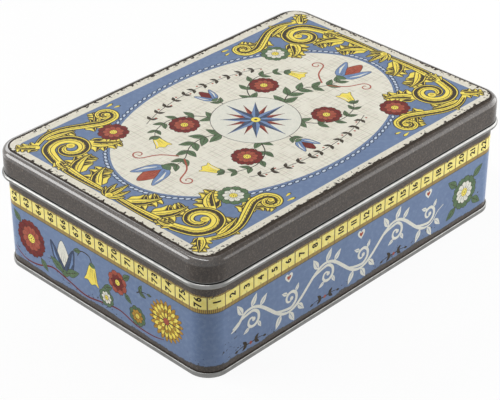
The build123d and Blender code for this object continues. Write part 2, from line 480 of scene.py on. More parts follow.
def wall_print(plan, along, up):
    """The wall's print: blue field, worn dark foot, the tape with its scale, and the dark band under the lid."""
    colour = blue_print(plan)
    flecks = plan.grain(0.42, 3, 0.65).rise(0.605, 0.62) * (plan.grain(0.045, 1) - up * 0.014).rise(0.35, 0.38)
    colour = flecks.lay(shade(40, 42, 50), colour)
    ragged = plan.grain(0.42, 4, 0.72) * 2.6 + plan.grain(0.045, 2) * 4.4
    foot = 1 - (up - ragged).rise(2.30, 2.42)
    rim_of_foot = 1 - (up - ragged).rise(2.58, 2.72)
    colour = (rim_of_foot * 0.75).lay(shade(52, 56, 66), colour)
    colour = foot.lay(dark_print(plan), colour)
    # Tape
    paint = plan.grain(0.4, 3).rise(0.3, 0.7).lay(YELLOW_PALE, YELLOW)
    scale = 1 - up.rise(SCALE_HEAD - 0.08, SCALE_HEAD + 0.08)
    scale = scale.math("MAXIMUM", scale, up.rise(TAPE_HEAD - 1.35, TAPE_HEAD - 1.2))
    paint = scale.lay(SCALE_GOLD, paint)
    cell = (along - TAPE_ZERO) / CELL
    part = cell.math("FRACT", cell)
    line = part.math("MINIMUM", part, 1 - part) * CELL
    tenth = (cell * 10.0).math("FRACT", cell * 10.0)
    tick = tenth.math("MINIMUM", tenth, 1 - tenth) * (CELL / 10)
    half = (cell * 2.0).math("FRACT", cell * 2.0)
    long_tick = half.math("MINIMUM", half, 1 - half) * (CELL / 2)
    ticks = (1 - tick.rise(0.17, 0.26)) * scale
    ticks = ticks.math("MAXIMUM", ticks, (1 - long_tick.rise(0.17, 0.26)) * (1 - up.rise(SCALE_HEAD + 1.0, SCALE_HEAD + 1.15)))
    paint = (ticks * 0.85).lay(shade(92, 70, 34), paint)
    paint = ((1 - line.rise(0.28, 0.40)) * 0.9).lay(shade(104, 82, 40), paint)
    nicked = plan.grain(0.5, 3, 0.6).rise(0.56, 0.66) * 1.6 + plan.grain(1.2, 2) * 0.6 + plan.grain(0.13, 2).rise(0.5, 0.7) * 0.8
    on_tape = up.rise(TAPE_FOOT - 0.06, TAPE_FOOT + 0.06)
    edge_line = 1 - abs(up - TAPE_FOOT).rise(0.20, 0.34)
    colour = on_tape.lay(paint, colour)
    colour = (edge_line * 0.8).lay(shade(72, 64, 44), colour)
    spots = plan.grain(0.8, 2, 0.5).rise(0.66, 0.68) * up.rise(44.5, 47.5)
    colour = spots.lay(DARK_DEEP, colour)
    under_lid = (up + nicked).rise(TAPE_HEAD - 0.1, TAPE_HEAD + 0.1)
    return under_lid.lay(dark_print(plan), colour)


wall_finishes = {"tin": tinplate, "print": varnish("wall_print", wall_print)}


def ink_finish(name, colour, pale, deep, roughness=0.48):
    """An ink of one motif colour, with the uneven tone of a worn print."""
    def colour_of(plan, along, up):
        tone = plan.grain(0.35, 4, 0.65).rise(0.3, 0.7).lay(pale, colour)
        return (plan.grain(1.6, 3, 0.7).rise(0.52, 0.68) * 0.5).lay(deep, tone)
    return varnish(name, colour_of, roughness, gloss=0.10)


INKS = {
    "numeral": (shade(44, 36, 26), shade(56, 46, 32), shade(34, 28, 22)),
    "cream": (shade(224, 224, 212), shade(234, 232, 220), shade(196, 198, 192)),
    "burgundy": (shade(104, 40, 40), shade(128, 54, 50), shade(66, 26, 28)),
    "rust": (shade(160, 78, 62), shade(178, 98, 80), shade(122, 54, 44)),
    "green": (shade(84, 108, 78), shade(104, 128, 96), shade(58, 78, 56)),
    "ochre": (shade(172, 128, 48), shade(198, 156, 68), shade(124, 86, 30)),
    "gold": (shade(246, 222, 92), shade(250, 234, 118), shade(222, 192, 70)),
    "old_gold": (shade(206, 180, 74), shade(222, 198, 92), shade(164, 140, 58)),
    "line": (shade(58, 52, 44), shade(72, 64, 52), shade(42, 38, 34)),
    "navy": (shade(62, 74, 98), shade(80, 94, 120), shade(44, 52, 72)),
    "thread": (shade(196, 208, 222), shade(212, 220, 230), shade(160, 176, 198)),
    "sky": (shade(112, 136, 176), shade(128, 152, 190), shade(92, 114, 152)),
}
ink_finishes = {name: ink_finish(f"ink_{name}", *tones) for name, tones in INKS.items()}
wall_finishes.update(ink_finishes)


def inside(points, loops):
    """Which points the loops wind round."""
    turns = np.zeros(len(points), int)
    for loop in loops:
        a = np.asarray(loop, float)
        b = np.roll(a, -1, 0)
        x, y = points[:, :1], points[:, 1:]
        side = (b[:, 0] - a[:, 0]) * (y - a[:, 1]) - (x - a[:, 0]) * (b[:, 1] - a[:, 1])
        turns += ((a[:, 1] <= y) & (b[:, 1] > y) & (side > 0)).sum(1)
        turns -= ((a[:, 1] > y) & (b[:, 1] <= y) & (side < 0)).sum(1)
    return turns != 0


def lean(loop, slack=0.06):
    """The same outline without the corners that bend it by less than the slack."""
    def thin(run):
        (ax, ay), (bx, by) = run[0], run[-1]
        size = hypot(bx - ax, by - ay)
        off = [abs((x - ax) * (by - ay) - (y - ay) * (bx - ax)) / size if size > 1e-9 else hypot(x - ax, y - ay)
               for x, y in run[1:-1]]
        if not off or max(off) < slack:
            return run[:1]
        far = off.index(max(off)) + 1
        return thin(run[:far + 1]) + thin(run[far:])
    half = len(loop) // 2
    return thin(loop[:half + 1]) + thin(loop[half:] + loop[:1])


def cut_up(outline, guides, shapes):
    """Cut a flat outline along guides and printed shapes into triangles, each with the ink on top there."""
    points, edges = [], []
    for line, closed in [(outline, True), *((g, False) for g in guides), *((p, True) for _, ps in shapes for p in ps)]:
        first = len(points)
        points += [Vector(p) for p in line]
        edges += [(first + i, first + i + 1) for i in range(len(line) - 1)]
        if closed:
            edges.append((len(points) - 1, first))
    found, _, triangles, origins, _, _ = delaunay_2d_cdt(points, edges, [], 0, 1e-4)
    exact = [tuple(line[i]) for line, _ in [(outline, 0), *((g, 0) for g in guides)] for i in range(len(line))]
    places = [exact[min(o)] if o and min(o) < len(exact) else (v.x, v.y) for v, o in zip(found, origins)]
    middles = np.array(places)[np.array(triangles)].mean(1)
    order = np.argsort(middles[:, 0])
    ranked = middles[order, 0]
    ink = np.full(len(triangles), -1)
    for number, (_, loops) in enumerate(shapes):
        corners = np.concatenate([np.asarray(p, float) for p in loops])
        (low_x, low_y), (high_x, high_y) = corners.min(0), corners.max(0)
        near = order[slice(*np.searchsorted(ranked, (low_x, high_x)))]
        near = near[(middles[near, 1] >= low_y) & (middles[near, 1] <= high_y)]
        if len(near):
            ink[near[inside(middles[near], loops)]] = number
    return places, [(t, shapes[i][0] if i >= 0 else None) for t, i in zip(triangles, ink)]


def numeral_outlines():
    """The outlines of the ten digits, one unit high, from Blender's own plain font."""
    digits = {}
    for digit in "0123456789":
        curve = bpy.data.curves.new("digit", "FONT")
        curve.body, curve.resolution_u = digit, 3
        curve.offset = 0.04
        held = bpy.data.objects.new("digit", curve)
        mesh = bpy.data.meshes.new_from_object(held)
        nexts = {(p.vertices[i - 1], p.vertices[i]) for p in mesh.polygons for i in range(len(p.vertices))}
        rim = {a: b for a, b in nexts if (b, a) not in nexts}
        loops = []
        while rim:
            a = next(iter(rim))
            loop = []
            while a in rim:
                loop.append(tuple(mesh.vertices[a].co[:2]))
                a = rim.pop(a)
            loops.append(loop)
        xs, ys = zip(*[p for loop in loops for p in loop])
        size = 1 / (max(ys) - min(ys))
        digits[digit] = (
            [[((x - min(xs)) * size, (y - min(ys)) * size) for x, y in loop] for loop in loops],
            (max(xs) - min(xs)) * size)
        bpy.data.objects.remove(held)
        bpy.data.curves.remove(curve)
        bpy.data.meshes.remove(mesh)
    return digits


def smooth(points, steps=5, closed=False):
    """A smooth line through the points, with any width that they carry smoothed along it."""
    line, count = [], len(points)
    for i in range(count if closed else count - 1):
        near = [points[(i + k) % count] if closed else points[min(max(i + k, 0), count - 1)] for k in (-1, 0, 1, 2)]
        for t in (s / steps for s in range(steps)):
            line.append(tuple(
                b + (c - a) * t / 2 + (2 * a - 5 * b + 4 * c - d) * t * t / 2 + (3 * b - a - 3 * c + d) * t ** 3 / 2
                for a, b, c, d in zip(*near)))
    return line if closed else line + [tuple(points[-1])]


def stroke(points, wider=0.0, shift=0.0, share=1.0):
    """The outline of a brush stroke along points with widths, widened, or shifted to a side by a share of its width."""
    left, right = [], []
    for i, (x, y, w) in enumerate(points):
        ax, ay, _ = points[max(i - 1, 0)]
        bx, by, _ = points[min(i + 1, len(points) - 1)]
        size = hypot(bx - ax, by - ay) or 1.0
        nx, ny = (ay - by) / size, (bx - ax) / size
        x, y, half = x + nx * w * shift, y + ny * w * shift, (w * share + wider) / 2
        left.append((x + nx * half, y + ny * half))
        right.append((x - nx * half, y - ny * half))
    return left + right[::-1]


def spiral(x, y, outer, inner, start, turns, steps=26):
    """Points in towards a centre, from an angle in degrees, over some turns, to the left if they are positive."""
    count = max(int(abs(turns) * steps), 2)
    return [(x + cos(radians(start + 360 * turns * i / count)) * (outer + (inner - outer) * (i / count) ** 0.8),
             y + sin(radians(start + 360 * turns * i / count)) * (outer + (inner - outer) * (i / count) ** 0.8))
            for i in range(count + 1)]


def tapered(line, *widths):
    """Give a line widths, which run evenly along it."""
    last = len(line) - 1
    made = []
    for i, (x, y) in enumerate(line):
        place = i / last * (len(widths) - 1)
        k = min(int(place), len(widths) - 2)
        made.append((x, y, widths[k] + (widths[k + 1] - widths[k]) * (place - k)))
    return made


def disc(x, y, radius, count=14, squash=1.0):
    return [(x + cos(2 * pi * i / count) * radius, y + sin(2 * pi * i / count) * radius * squash) for i in range(count)]


def petal(length, width, tip=0.5, start=0.0, notch=0.0):
    """A petal along +X: how long and wide, how full towards its tip, where it starts, and how deep its tip is cut."""
    side = [(start, width * 0.10), (start + (length - start) * 0.35, width * (0.42 - 0.2 * tip)),
            (start + (length - start) * 0.72, width * (0.36 + 0.14 * tip)), (length, width * 0.16)]
    return smooth([*side, (length - notch, 0), *[(x, -y) for x, y in side[::-1]]], 4, True)


def put(drawing, x=0.0, y=0.0, turn=0.0, size=1.0, flip=False):
    """Place a drawing, turned in degrees, resized, and mirrored left to right if it is flipped."""
    c, s, m = cos(radians(turn)) * size, sin(radians(turn)) * size, -1 if flip else 1
    return [(ink, [(x + c * m * px - s * py, y + s * m * px + c * py) for px, py in loop]) for ink, loop in drawing]


def ring(drawing, count, radius=0.0, start=0.0):
    """Repeat a drawing that points along +X round a centre."""
    made = []
    for i in range(count):
        a = start + 360 * i / count
        made += put(drawing, cos(radians(a)) * radius, sin(radians(a)) * radius, a)
    return made


def edged(ink, loop, edge=0.28):
    """A shape with a dark drawn edge."""
    area = sum(a[0] * b[1] - b[0] * a[1] for a, b in zip(loop, loop[1:] + loop[:1]))
    way = edge if area > 0 else -edge
    grown = []
    for (ax, ay), (x, y), (bx, by) in zip(loop[-1:] + loop[:-1], loop, loop[1:] + loop[:1]):
        size = hypot(bx - ax, by - ay) or 1.0
        grown.append((x + (by - ay) / size * way, y - (bx - ax) / size * way))
    return [("line", grown), (ink, loop)]


def blade(length, width):
    side = [(0, 0), (length * 0.3, width * 0.46), (length * 0.62, width * 0.40), (length, 0)]
    return smooth(side, 4) + smooth([(x, -y) for x, y in side[::-1]], 4)[1:-1]


def leaf(length, width, ink="green", vein="line"):
    """A pointed leaf along +X with its midrib and side veins."""
    drawing = edged(ink, blade(length, width), 0.22)
    drawing.append((vein, stroke([(0, 0, 0.34), (length * 0.5, 0.05, 0.26), (length * 0.9, 0, 0.08)])))
    for share in (0.22, 0.42, 0.6):
        for side in (1, -1):
            reach = width * 0.34 * (1.1 - share * 0.7)
            drawing.append((vein, stroke([
                (length * share, 0, 0.2), (length * (share + 0.2), side * reach, 0.05)])))
    return drawing


def sprig(line, size, ink="green", every=3, stem="line", first=2):
    """A stem with pairs of leaves that get smaller to its tip."""
    drawing = [(stem, stroke(tapered(line, 0.7, 0.55, 0.3)))]
    for i in range(first, len(line) - 2, every):
        (ax, ay), (bx, by) = line[i], line[i + 1]
        angle = degrees(atan2(by - ay, bx - ax))
        share = size * (1.1 - 0.5 * i / len(line))
        for side in (1, -1):
            drawing += put(leaf(6.4 * share, 2.9 * share, ink), ax, ay, angle + side * 42)
    x, y = line[-1]
    ax, ay = line[-2]
    return drawing + put(leaf(6.4 * size * 0.6, 2.9 * size * 0.6, ink), x, y, degrees(atan2(y - ay, x - ax)))


def rosette(radius, outer, inner, heart="gold", count=10):
    """A round flower of two rings of petals about a dotted heart."""
    drawing = [("line", disc(0, 0, radius * 0.80, 20))]
    big = edged(outer, petal(radius, radius * 0.66, 0.9, radius * 0.2, radius * 0.05))
    big += [("line", stroke([(radius * 0.45, y * 0.5, 0.2), (radius * 0.82, y, 0.06)]))
            for y in (-radius * 0.12, 0.0, radius * 0.12)]
    drawing += ring(big, count, 0, 180 / count)
    small = edged(inner, petal(radius * 0.66, radius * 0.40, 0.7, radius * 0.1), 0.2)
    small.append(("line", stroke([(radius * 0.3, 0, 0.18), (radius * 0.56, 0, 0.05)])))
    drawing += ring(small, count)
    drawing += edged(heart, disc(0, 0, radius * 0.24, 16), 0.22)
    return drawing + ring([("line", disc(0, 0, radius * 0.035, 6))], 7, radius * 0.15) + [("line", disc(0, 0, radius * 0.05, 6))]


def aster(radius, ink, pale, heart="rust"):
    """A round flower of many narrow petals in four rings."""
    drawing = [("line", disc(0, 0, radius * 0.86, 24))]
    for count, reach, wide, tone in ((22, 1.0, 0.20, ink), (18, 0.80, 0.20, pale), (14, 0.60, 0.19, ink), (10, 0.42, 0.17, pale)):
        one = edged(tone, petal(radius * reach, radius * wide, 0.6, radius * reach * 0.4), 0.16)
        one.append(("line", stroke([(radius * reach * 0.55, 0, 0.16), (radius * reach * 0.9, 0, 0.04)])))
        drawing += ring(one, count, 0, 90 / count * (count % 4))
    drawing += edged(heart, disc(0, 0, radius * 0.17, 12), 0.2)
    return drawing


def tulip(size, ink, pale, cup="cream"):
    """A tulip head along +Y, with two folded side petals and a pointed one between them."""
    s = size / 10
    middle = smooth([(0, 0), (-2.6 * s, 4.2 * s), (-1.9 * s, 8.2 * s), (0, 11.0 * s), (1.9 * s, 8.2 * s), (2.6 * s, 4.2 * s)], 4, True)
    drawing = edged(cup, middle)
    drawing += [("line", stroke([(x * s, 3.5 * s, 0.22), (x * s * 0.7, 8.6 * s, 0.05)])) for x in (-0.9, 0, 0.9)]
    side = smooth([(0, -0.6 * s), (-3.4 * s, 0.9 * s), (-4.9 * s, 4.6 * s), (-5.4 * s, 9.4 * s), (-3.2 * s, 7.4 * s),
                   (-1.7 * s, 4.4 * s), (-0.1 * s, 1.6 * s)], 4, True)
    one = edged(ink, side)
    one.append((pale, stroke([(-2.2 * s, 1.6 * s, 0.3 * s), (-3.9 * s, 4.6 * s, 0.9 * s), (-4.7 * s, 8.2 * s, 0.1)])))
    one += [("line", stroke([(-1.0 * s - k * 0.5 * s, 1.0 * s + k * 0.2 * s, 0.2), (-2.6 * s - k * 0.7 * s, 5.2 * s + k * 0.5 * s, 0.05)]))
            for k in (0, 1)]
    drawing += one + put(one, flip=True)
    return drawing + edged("green", smooth([(-2.0 * s, -0.2 * s), (0, -1.7 * s), (2.0 * s, -0.2 * s), (0, 0.7 * s)], 4, True), 0.2)


def bellflower(size, ink, pale):
    """A hanging bell along +Y with a scalloped mouth."""
    s = size / 10
    bell = smooth([(-1.5 * s, 0), (-2.6 * s, 3.0 * s), (-3.4 * s, 6.4 * s), (-4.6 * s, 9.0 * s), (-2.4 * s, 8.3 * s), (0, 9.8 * s),
                   (2.4 * s, 8.3 * s), (4.6 * s, 9.0 * s), (3.4 * s, 6.4 * s), (2.6 * s, 3.0 * s), (1.5 * s, 0)], 3, True)
    drawing = edged(ink, bell)
    drawing.append((pale, stroke([(-1.2 * s, 1.2 * s, 0.3 * s), (-1.9 * s, 4.5 * s, 0.9 * s), (-2.8 * s, 7.6 * s, 0.2)])))
    drawing += [("line", stroke([(x * s * 0.5, 1.5 * s, 0.2), (x * s, 7.8 * s, 0.06)])) for x in (-0.7, 0.7, 1.7)]
    return drawing + edged("green", disc(0, -0.4 * s, 1.6 * s, 12, 0.7), 0.2)


def heart(size):
    s=size/10
    half=[(0,-5.2*s),(-3.6*s,-1.6*s),(-5.2*s,1.8*s),(-3.6*s,4.4*s),(-1.4*s,4.2*s),(0,2.4*s)]
    a=smooth(half,4); return a+[(-x,y) for x,y in a[::-1]][1:-1]


def vine(waves, ink="cream", sprigs="line", hearts="rust"):
    """A scrolling vine of so many half waves, from x=0"""
    d=[]
    H=27.0; mid=21.3; amp=8.2
    pts=[]
    for i in range(waves*6+1):
        x=i/6*H
        env=1.0
        pts.append((x, mid+amp*sin(pi*x/H)*(0.55 if (i<2 or i>waves*6-2) else 1)))
    widths=[]
    main=[(x,y,(0.5 if i==0 else 1.45+0.45*abs(cos(pi*x/H)))*(1 if i<len(pts)-4 else max((len(pts)-1-i)/4,0.25))) for i,(x,y) in enumerate(pts)]
    d.append((ink,stroke(smooth(main,4))))
    for k in range(waves):
        up = 1 if k%2==0 else -1
        cx=k*H+H*0.54; cy=mid+up*amp*0.05
        lead=[(k*H+1.0, mid+up*1.6),(k*H+5.5, mid+up*4.0)]
        path=smooth(lead+spiral(cx,cy,6.6,1.1,128*up,-1.3*up,8),5)
        d.append((ink,stroke(tapered(path,0.7,1.6,1.8,1.6,1.2,0.7))))
        d.append((ink,disc(*path[-1],1.25,12)))
        for x,a,l,w in ((0.30,118,8.4,3.8),(0.52,62,8.0,3.6),(0.74,48,7.4,3.4)):
            px=k*H+H*x; py=mid+up*amp*sin(pi*x)
            d+=put([(ink,blade(l,w)),("print",stroke([(l*0.16,0,0.34),(l*0.82,0,0.1)]))],px,py+up*0.3,a*up)
        for x,a in ((0.40,-118),(0.66,-30)):
            r=6.6-5.5*((128-a)/468)**0.8+0.4
            px=cx+r*cos(radians(a*up)); py=cy+r*sin(radians(a*up))
            d+=put([(ink,blade(5.0,2.4)),("print",stroke([(0.8,0,0.26),(4.0,0,0.1)]))],px,py,(a-35)*up)
        # outer gaps: a heart or a dark sprig on the far side
        gx=k*H+H*0.5; gy=mid-up*12.4
        if k%2==1 and hearts: d+=put([(ink,heart(5.4)),(hearts,heart(2.8))],gx,gy+0.3,0)
        elif sprigs:
            for f in (False,True):
                d+=put(sprig([(0,0),(2,0.2),(4,0.3),(6,0.1),(8,-0.4)],0.58,sprigs,2,sprigs,1),gx+(-1 if f else 1)*0.8,gy,0,1,f)
            d+=[(hearts or ink,disc(gx,gy,0.95,10))]
    return d


def front():
    """u relative to the middle of the wall, z"""
    d=put(vine(6),-96,0)
    for a,x,y in ((215,77,14),(-35,91,14),(145,77,27.5),(35,91,27.5)):
        d+=put(leaf(9.5,4.6,"green"),x,y,a)
    d+=put(rosette(10,"green","cream","gold",11),84,20.8,0)
    return d


def left():
    """u relative to the middle of the left wall, z; wall runs from the back (negative) to the front (positive)"""
    d=[]
    d.append(("burgundy",stroke(tapered(smooth([(-68,12.5),(-60,8),(-50,8.5),(-38,12.5),(-26,10.5),(-12,7.6),(2,10),(14,11.5),(26,8.5),(38,8.2),(46,10)],6),0.5,0.9,1.0,1.0,0.9,0.8,0.4))))
    d+=put(leaf(8,3.8),-47,14,-50)+put(leaf(8,3.8),-62,30,130)
    d+=put(rosette(10.8,"burgundy","rust","gold",11),-54,23,5)
    d+=put(tulip(17,"navy","sky","cream"),-28,14.5,4)
    d+=put(leaf(11.5,4.8),-29,14,152)+put(leaf(11.5,4.8),-27,14,26)
    d.append(("line",stroke(tapered(smooth([(-17,30),(-14,34),(-8,33.6),(-6,29)],5),0.5,0.7,0.7))))
    d+=put(leaf(6,2.8),-14.5,33.8,200)
    d+=put(bellflower(12,"gold","old_gold"),-6,28.5,174)
    d+=put(rosette(5.4,"green","cream","gold",8),4,14.4,0)
    d+=put(leaf(7,3.4),8.5,22.5,200)+put(leaf(7,3.4),17,32,40)+put(leaf(6.4,3.2),18,24,-40)
    d+=put(rosette(6.8,"rust","burgundy","gold",8),13,28,0)
    d+=put(rosette(5.8,"green","ochre","gold",8),27,14.6,0)
    d+=put(sprig([(0,0),(2,1),(4,1.6),(6,1.8),(8,1.6)],0.8,"green",2,first=1),27,29,8)
    d+=put(aster(11.8,"ochre","gold","rust"),48,22.2)
    return d


NUMERAL_HEIGHT, NUMERAL_GAP, NUMERAL_NARROWING = 4.3, 0.55, 0.92
digits = numeral_outlines()
wall_shapes = []
for count in range(1, TAPE_CELLS + 1):
    text = str(count)
    wide = [digits[d][1] * NUMERAL_HEIGHT * NUMERAL_NARROWING for d in text]
    foot = (SCALE_HEAD + TAPE_HEAD) / 2 - 0.2 - (sum(wide) + NUMERAL_GAP * (len(text) - 1)) / 2
    centre = (TAPE_ZERO + (count - 0.5) * CELL) % GIRTH
    if not 3.0 + CELL / 2 < centre < GIRTH - 5.0 - CELL / 2:
        continue
    for digit, width in zip(text, wide):
        loops = [[(centre + NUMERAL_HEIGHT * (0.5 - y), foot + x * NUMERAL_HEIGHT * NUMERAL_NARROWING)
                  for x, y in loop] for loop in digits[digit][0]]
        wall_shapes.append(("numeral", loops))
        foot += width + NUMERAL_GAP

FRONT_MIDDLE, LEFT_MIDDLE = TAPE_ZERO + CORNER_RUN / 2 + HALF_ACROSS, HALF_ACROSS + CORNER_RUN + HALF_DEEP
RIGHT_MIDDLE = GIRTH - LEFT_MIDDLE
wall_art = put(front(), FRONT_MIDDLE) + put(left(), LEFT_MIDDLE) + put(left(), RIGHT_MIDDLE, flip=True)
wall_art += put(vine(3), 8, 0) + put(vine(3), GIRTH - 12, flip=True)
wall_shapes += [(ink, [lean(loop)]) for ink, loop in wall_art]

wall = Sheetwork()
seam_columns = (GIRTH - SEAM_JOG_X, GIRTH - SEAM_FOLD_X)
wall_at = stations(MARGIN[0], *seam_columns, MARGIN[1])
seam_rows = (SEAM_FOOT, ART_HEAD, SEAM_HEAD)
hook_tip_z = BASE_FOLD_Z - HOOK_TIP_CLEARANCE
rows = (PRINT_FOOT, *seam_rows, PRINT_HEAD)
wall_faces = bent((2 * LAYER_PITCH - SHEET / 2, hook_tip_z), -90, [
    ("hook", hook_tip_z - WALL_FOLD_Z),
    ("hook", LAYER_PITCH, -180, 8),
    ("foot", PRINT_FOOT - WALL_FOLD_Z),
    *[("wall", high - low) for low, high in zip(rows, rows[1:])],
    ("head", RIM_Z - PRINT_HEAD),
    ("rim", RIM_RADIUS, 270, 24),
])
wall_reach = wall_faces[0][-1][-1]
plain_strips = strips(0, wall_reach, 0.905, 0.023)


def beside_window(lengths, columns):
    """Leave out the window where the side seam's hooks are."""
    kept = [l for l in lengths if not (l[0] == "wall" and SEAM_FOOT - 0.1 < min(l[1][1], l[3][1])
                                       and max(l[1][1], l[3][1]) < SEAM_HEAD + 0.1)]
    return kept if columns else lengths


for u, v in zip(wall_at, wall_at[1:]):
    window = abs(u - seam_columns[0]) < 1e-6
    on_margin = u >= MARGIN[0] - 1e-6 or v <= MARGIN[1] + 1e-6
    inner = beside_window(wall_faces[0], window)
    outer = beside_window(wall_faces[1], window)
    if not on_margin:
        outer = [l for l in outer if l[0] != "wall"]
    wall.carry(inner, (u, v), "tin", plain_strips)
    wall.carry(outer, (u, v), "tin", plain_strips)
first, last = wall_faces[0][0], wall_faces[0][-1]
wall.carry([("cut", first[1], (0, 1), wall_faces[1][0][1], (0, 1), 0, 0)], wall_at, "tin", plain_strips)
facing = (last[4][1], -last[4][0])
wall.carry([("cut", last[3], facing, wall_faces[1][-1][3], facing, wall_reach, wall_reach)],
           wall_at, "tin", plain_strips)

# The printed face, cut along its artwork while it is flat and then bent round the corners.
art_strips = strips(PRINT_FOOT, ART_HEAD, 0.0, 0.213)
band_strips = strips(ART_HEAD, PRINT_HEAD, 0.855, 0.012)
print_at = [u for u in wall_at if MARGIN[1] - 1e-6 <= u <= MARGIN[0] + 1e-6]
outline = [(u, PRINT_FOOT) for u in print_at] + [(print_at[-1], z) for z in seam_rows]
outline += [(u, PRINT_HEAD) for u in print_at[::-1]] + [(print_at[0], z) for z in seam_rows[::-1]]
guides = [[(u, PRINT_FOOT), (u, PRINT_HEAD)] for u in print_at[1:-1]]
guides.append([(print_at[0], ART_HEAD), (print_at[-1], ART_HEAD)])
places, triangles = cut_up(outline, guides, wall_shapes)
made = {}
for corners, ink in triangles:
    middle_u = sum(places[i][0] for i in corners) / 3
    band = sum(places[i][1] for i in corners) / 3 > ART_HEAD
    for i in corners:
        if (i, quarter_of(middle_u), band) not in made:
            u, z = places[i]
            point, (ex, ey) = round_tin(u, 0.0, z)
            made[i, quarter_of(middle_u), band] = wall.corner(
                point, (ex, ey, 0), (u, z), (band_strips if band else art_strips)(u, z, middle_u))
    wall.add(ink or "print", [made[i, quarter_of(middle_u), band] for i in corners])

# The side seam's hooks, drawn in plan and drawn up between the seam's ends.
wall_y = TIN_WIDTH / 2 - BEAD_REACH - SHEET / 2
hook_length = 2 * SEAM_FOLD_X - HOOK_TIP_CLEARANCE
hooks = [
    bent((SEAM_FOLD_X, wall_y), 0, [("fold", LAYER_PITCH, -180, 8), ("hook", hook_length)]),
    bent((SEAM_JOG_X, wall_y), 180, [
        ("jog", SEAM_JOG, 45, 4), ("jog", SEAM_JOG, -45, 4), ("lap", 2 * SEAM_FOLD_X),
        ("fold", LAYER_PITCH, -180, 8), ("hook", hook_length)]),
]
seam_bake = island(0.0, 0.0, 0.02, 0.0)
for left, right in hooks:
    end = left[-1][4]
    facing = (end[1], -end[0])
    for low, high in zip(seam_rows, seam_rows[1:]):
        for _, p, n, q, m, s, t in [*left, *right, ("cut", left[-1][3], facing, right[-1][3], facing, 0, 0)]:
            wall.face("tin", *[
                ((x, y, z), (nx, ny, 0), (x, z), (0.99, 0.95))
                for (x, y), (nx, ny), z in ((p, n, low), (q, m, low), (q, m, high), (p, n, high))])
    for a, b in zip(left, right):
        for z, up in ((SEAM_FOOT, -1), (SEAM_HEAD, 1)):
            wall.face("tin", *[((*p, z), (0, 0, up), p, (0.99, 0.95)) for p in (a[1], a[3], b[3], b[1])])
for z, up in ((SEAM_FOOT, 1), (SEAM_HEAD, -1)):
    wall.face("tin", *[((x, y, z), (0, 0, up), (x, y), (0.99, 0.95)) for x, y in (
        (SEAM_FOLD_X, wall_y - SHEET / 2), (SEAM_JOG_X, wall_y - SHEET / 2),
        (SEAM_JOG_X, wall_y + SHEET / 2), (SEAM_FOLD_X, wall_y + SHEET / 2))])
wall.piece("printed_body_wall", "tin_body", "body_wall", wall_finishes)


# ---- Lid -----------------------------------------------------------------------------------------
# One pressing of printed tinplate: a flat panel, a rounded shoulder, an upright skirt and a bead
# rolled outwards at the hem. The print stops above the bead, which stays bright.
SKIRT_REACH = 2.1
SHOULDER = 3.0
BEAD_RADIUS = 1.45 - SHEET / 2
BEAD_Z = TIN_HEIGHT - 16.4 + 1.45
NECK_ANGLE, MOUTH_ANGLE = 67.5, 112.5
NECK_RADIUS = (SKIRT_REACH - 0.3 - SHEET) / (1 - cos(radians(NECK_ANGLE))) - BEAD_RADIUS
NECK_TOP = BEAD_Z + (BEAD_RADIUS + NECK_RADIUS) * sin(radians(NECK_ANGLE))
PANEL_EDGE = SKIRT_REACH - SHOULDER
BORDER_OUT, BORDER_IN = (111.0, 75.2, 8.8), (105.4, 69.4, 5.0)
OVAL = (88.5, 58.4)
# Painted sheen: the matt field's blue is greyed with white in place of the reflection that a glossy varnish would show.
PAINTED_FIELD_SHEEN = 0.057  # how far the matt print of the field is greyed with white


def off_box(wire, half_x, half_y, corner, x, y):
    """Distance outside a rounded box, less than nothing within it."""
    dx, dy = abs(x) - (half_x - corner), abs(y) - (half_y - corner)
    px, py = dx.math("MAXIMUM", dx, 0.0), dy.math("MAXIMUM", dy, 0.0)
    beyond = (px * px + py * py).math("SQRT", px * px + py * py)
    within = dx.math("MINIMUM", dx.math("MAXIMUM", dx, dy), 0.0)
    return beyond + within - corner


def panel_print(plan, x, y):
    """The panel's print: blue field greyed by a painted sheen, cream border worn at its outer edge, the dark turn of
    the shoulder, and painted shade beside the border.
    """
    # Painted sheen: the blue field is greyed with white.
    painted_sheen = {0: PAINTED_FIELD_SHEEN, 6: blue_print(plan), 7: (1, 1, 1, 1)}
    colour = plan.node("ShaderNodeMix", {"data_type": "RGBA"}, painted_sheen, 2)
    at_field = off_box(plan, *BORDER_IN, x, y)
    cream = plan.grain(0.5, 3, 0.6).rise(0.3, 0.75).lay(shade(236, 231, 217), shade(223, 218, 202))
    colour = at_field.rise(-0.08, 0.08).lay(cream, colour)
    worn = plan.grain(0.36, 3, 0.6).rise(0.54, 0.61) * 1.7 + plan.grain(1.1, 2) * 1.3 + plan.grain(0.06, 2) * 1.2
    at_edge = off_box(plan, *BORDER_OUT, x - 0.4, y - 0.6)
    spots = plan.grain(0.55, 2, 0.5).rise(0.60, 0.615) * at_edge.rise(-4.6, -3.4)
    spots = spots * plan.grain(0.05, 2).rise(0.51, 0.53)
    colour = spots.lay(shade(48, 44, 40), colour)
    edge = (at_edge + worn).rise(-0.12, 0.12)
    # Painted shade: a dark strip on the flat panel, from the border's worn edge out towards the shoulder.
    shadow = (at_edge + worn).rise(-0.05, 0.1) * (1 - (at_edge + worn).rise(0.8, 2.4))
    colour = edge.lay(dark_print(plan), colour)
    return (shadow * 0.7).lay(shade(52, 48, 44), colour)


def skirt_print(plan, along, down):
    return dark_print(plan)


def handled_shoulder(plan, along, down):
    """How far the bend of the shoulder is rubbed glossy by hands. The front edge is duller."""
    front = along.rise(TAPE_ZERO - 1.0, TAPE_ZERO + 12.0) * (1 - along.rise(TAPE_ZERO + 205.0, TAPE_ZERO + 225.0))
    return (1 - down.rise(4.2, 5.6)) * (plan.grain(0.25, 3, 0.6) * 0.3 + 0.8) * (1 - front * 0.95)


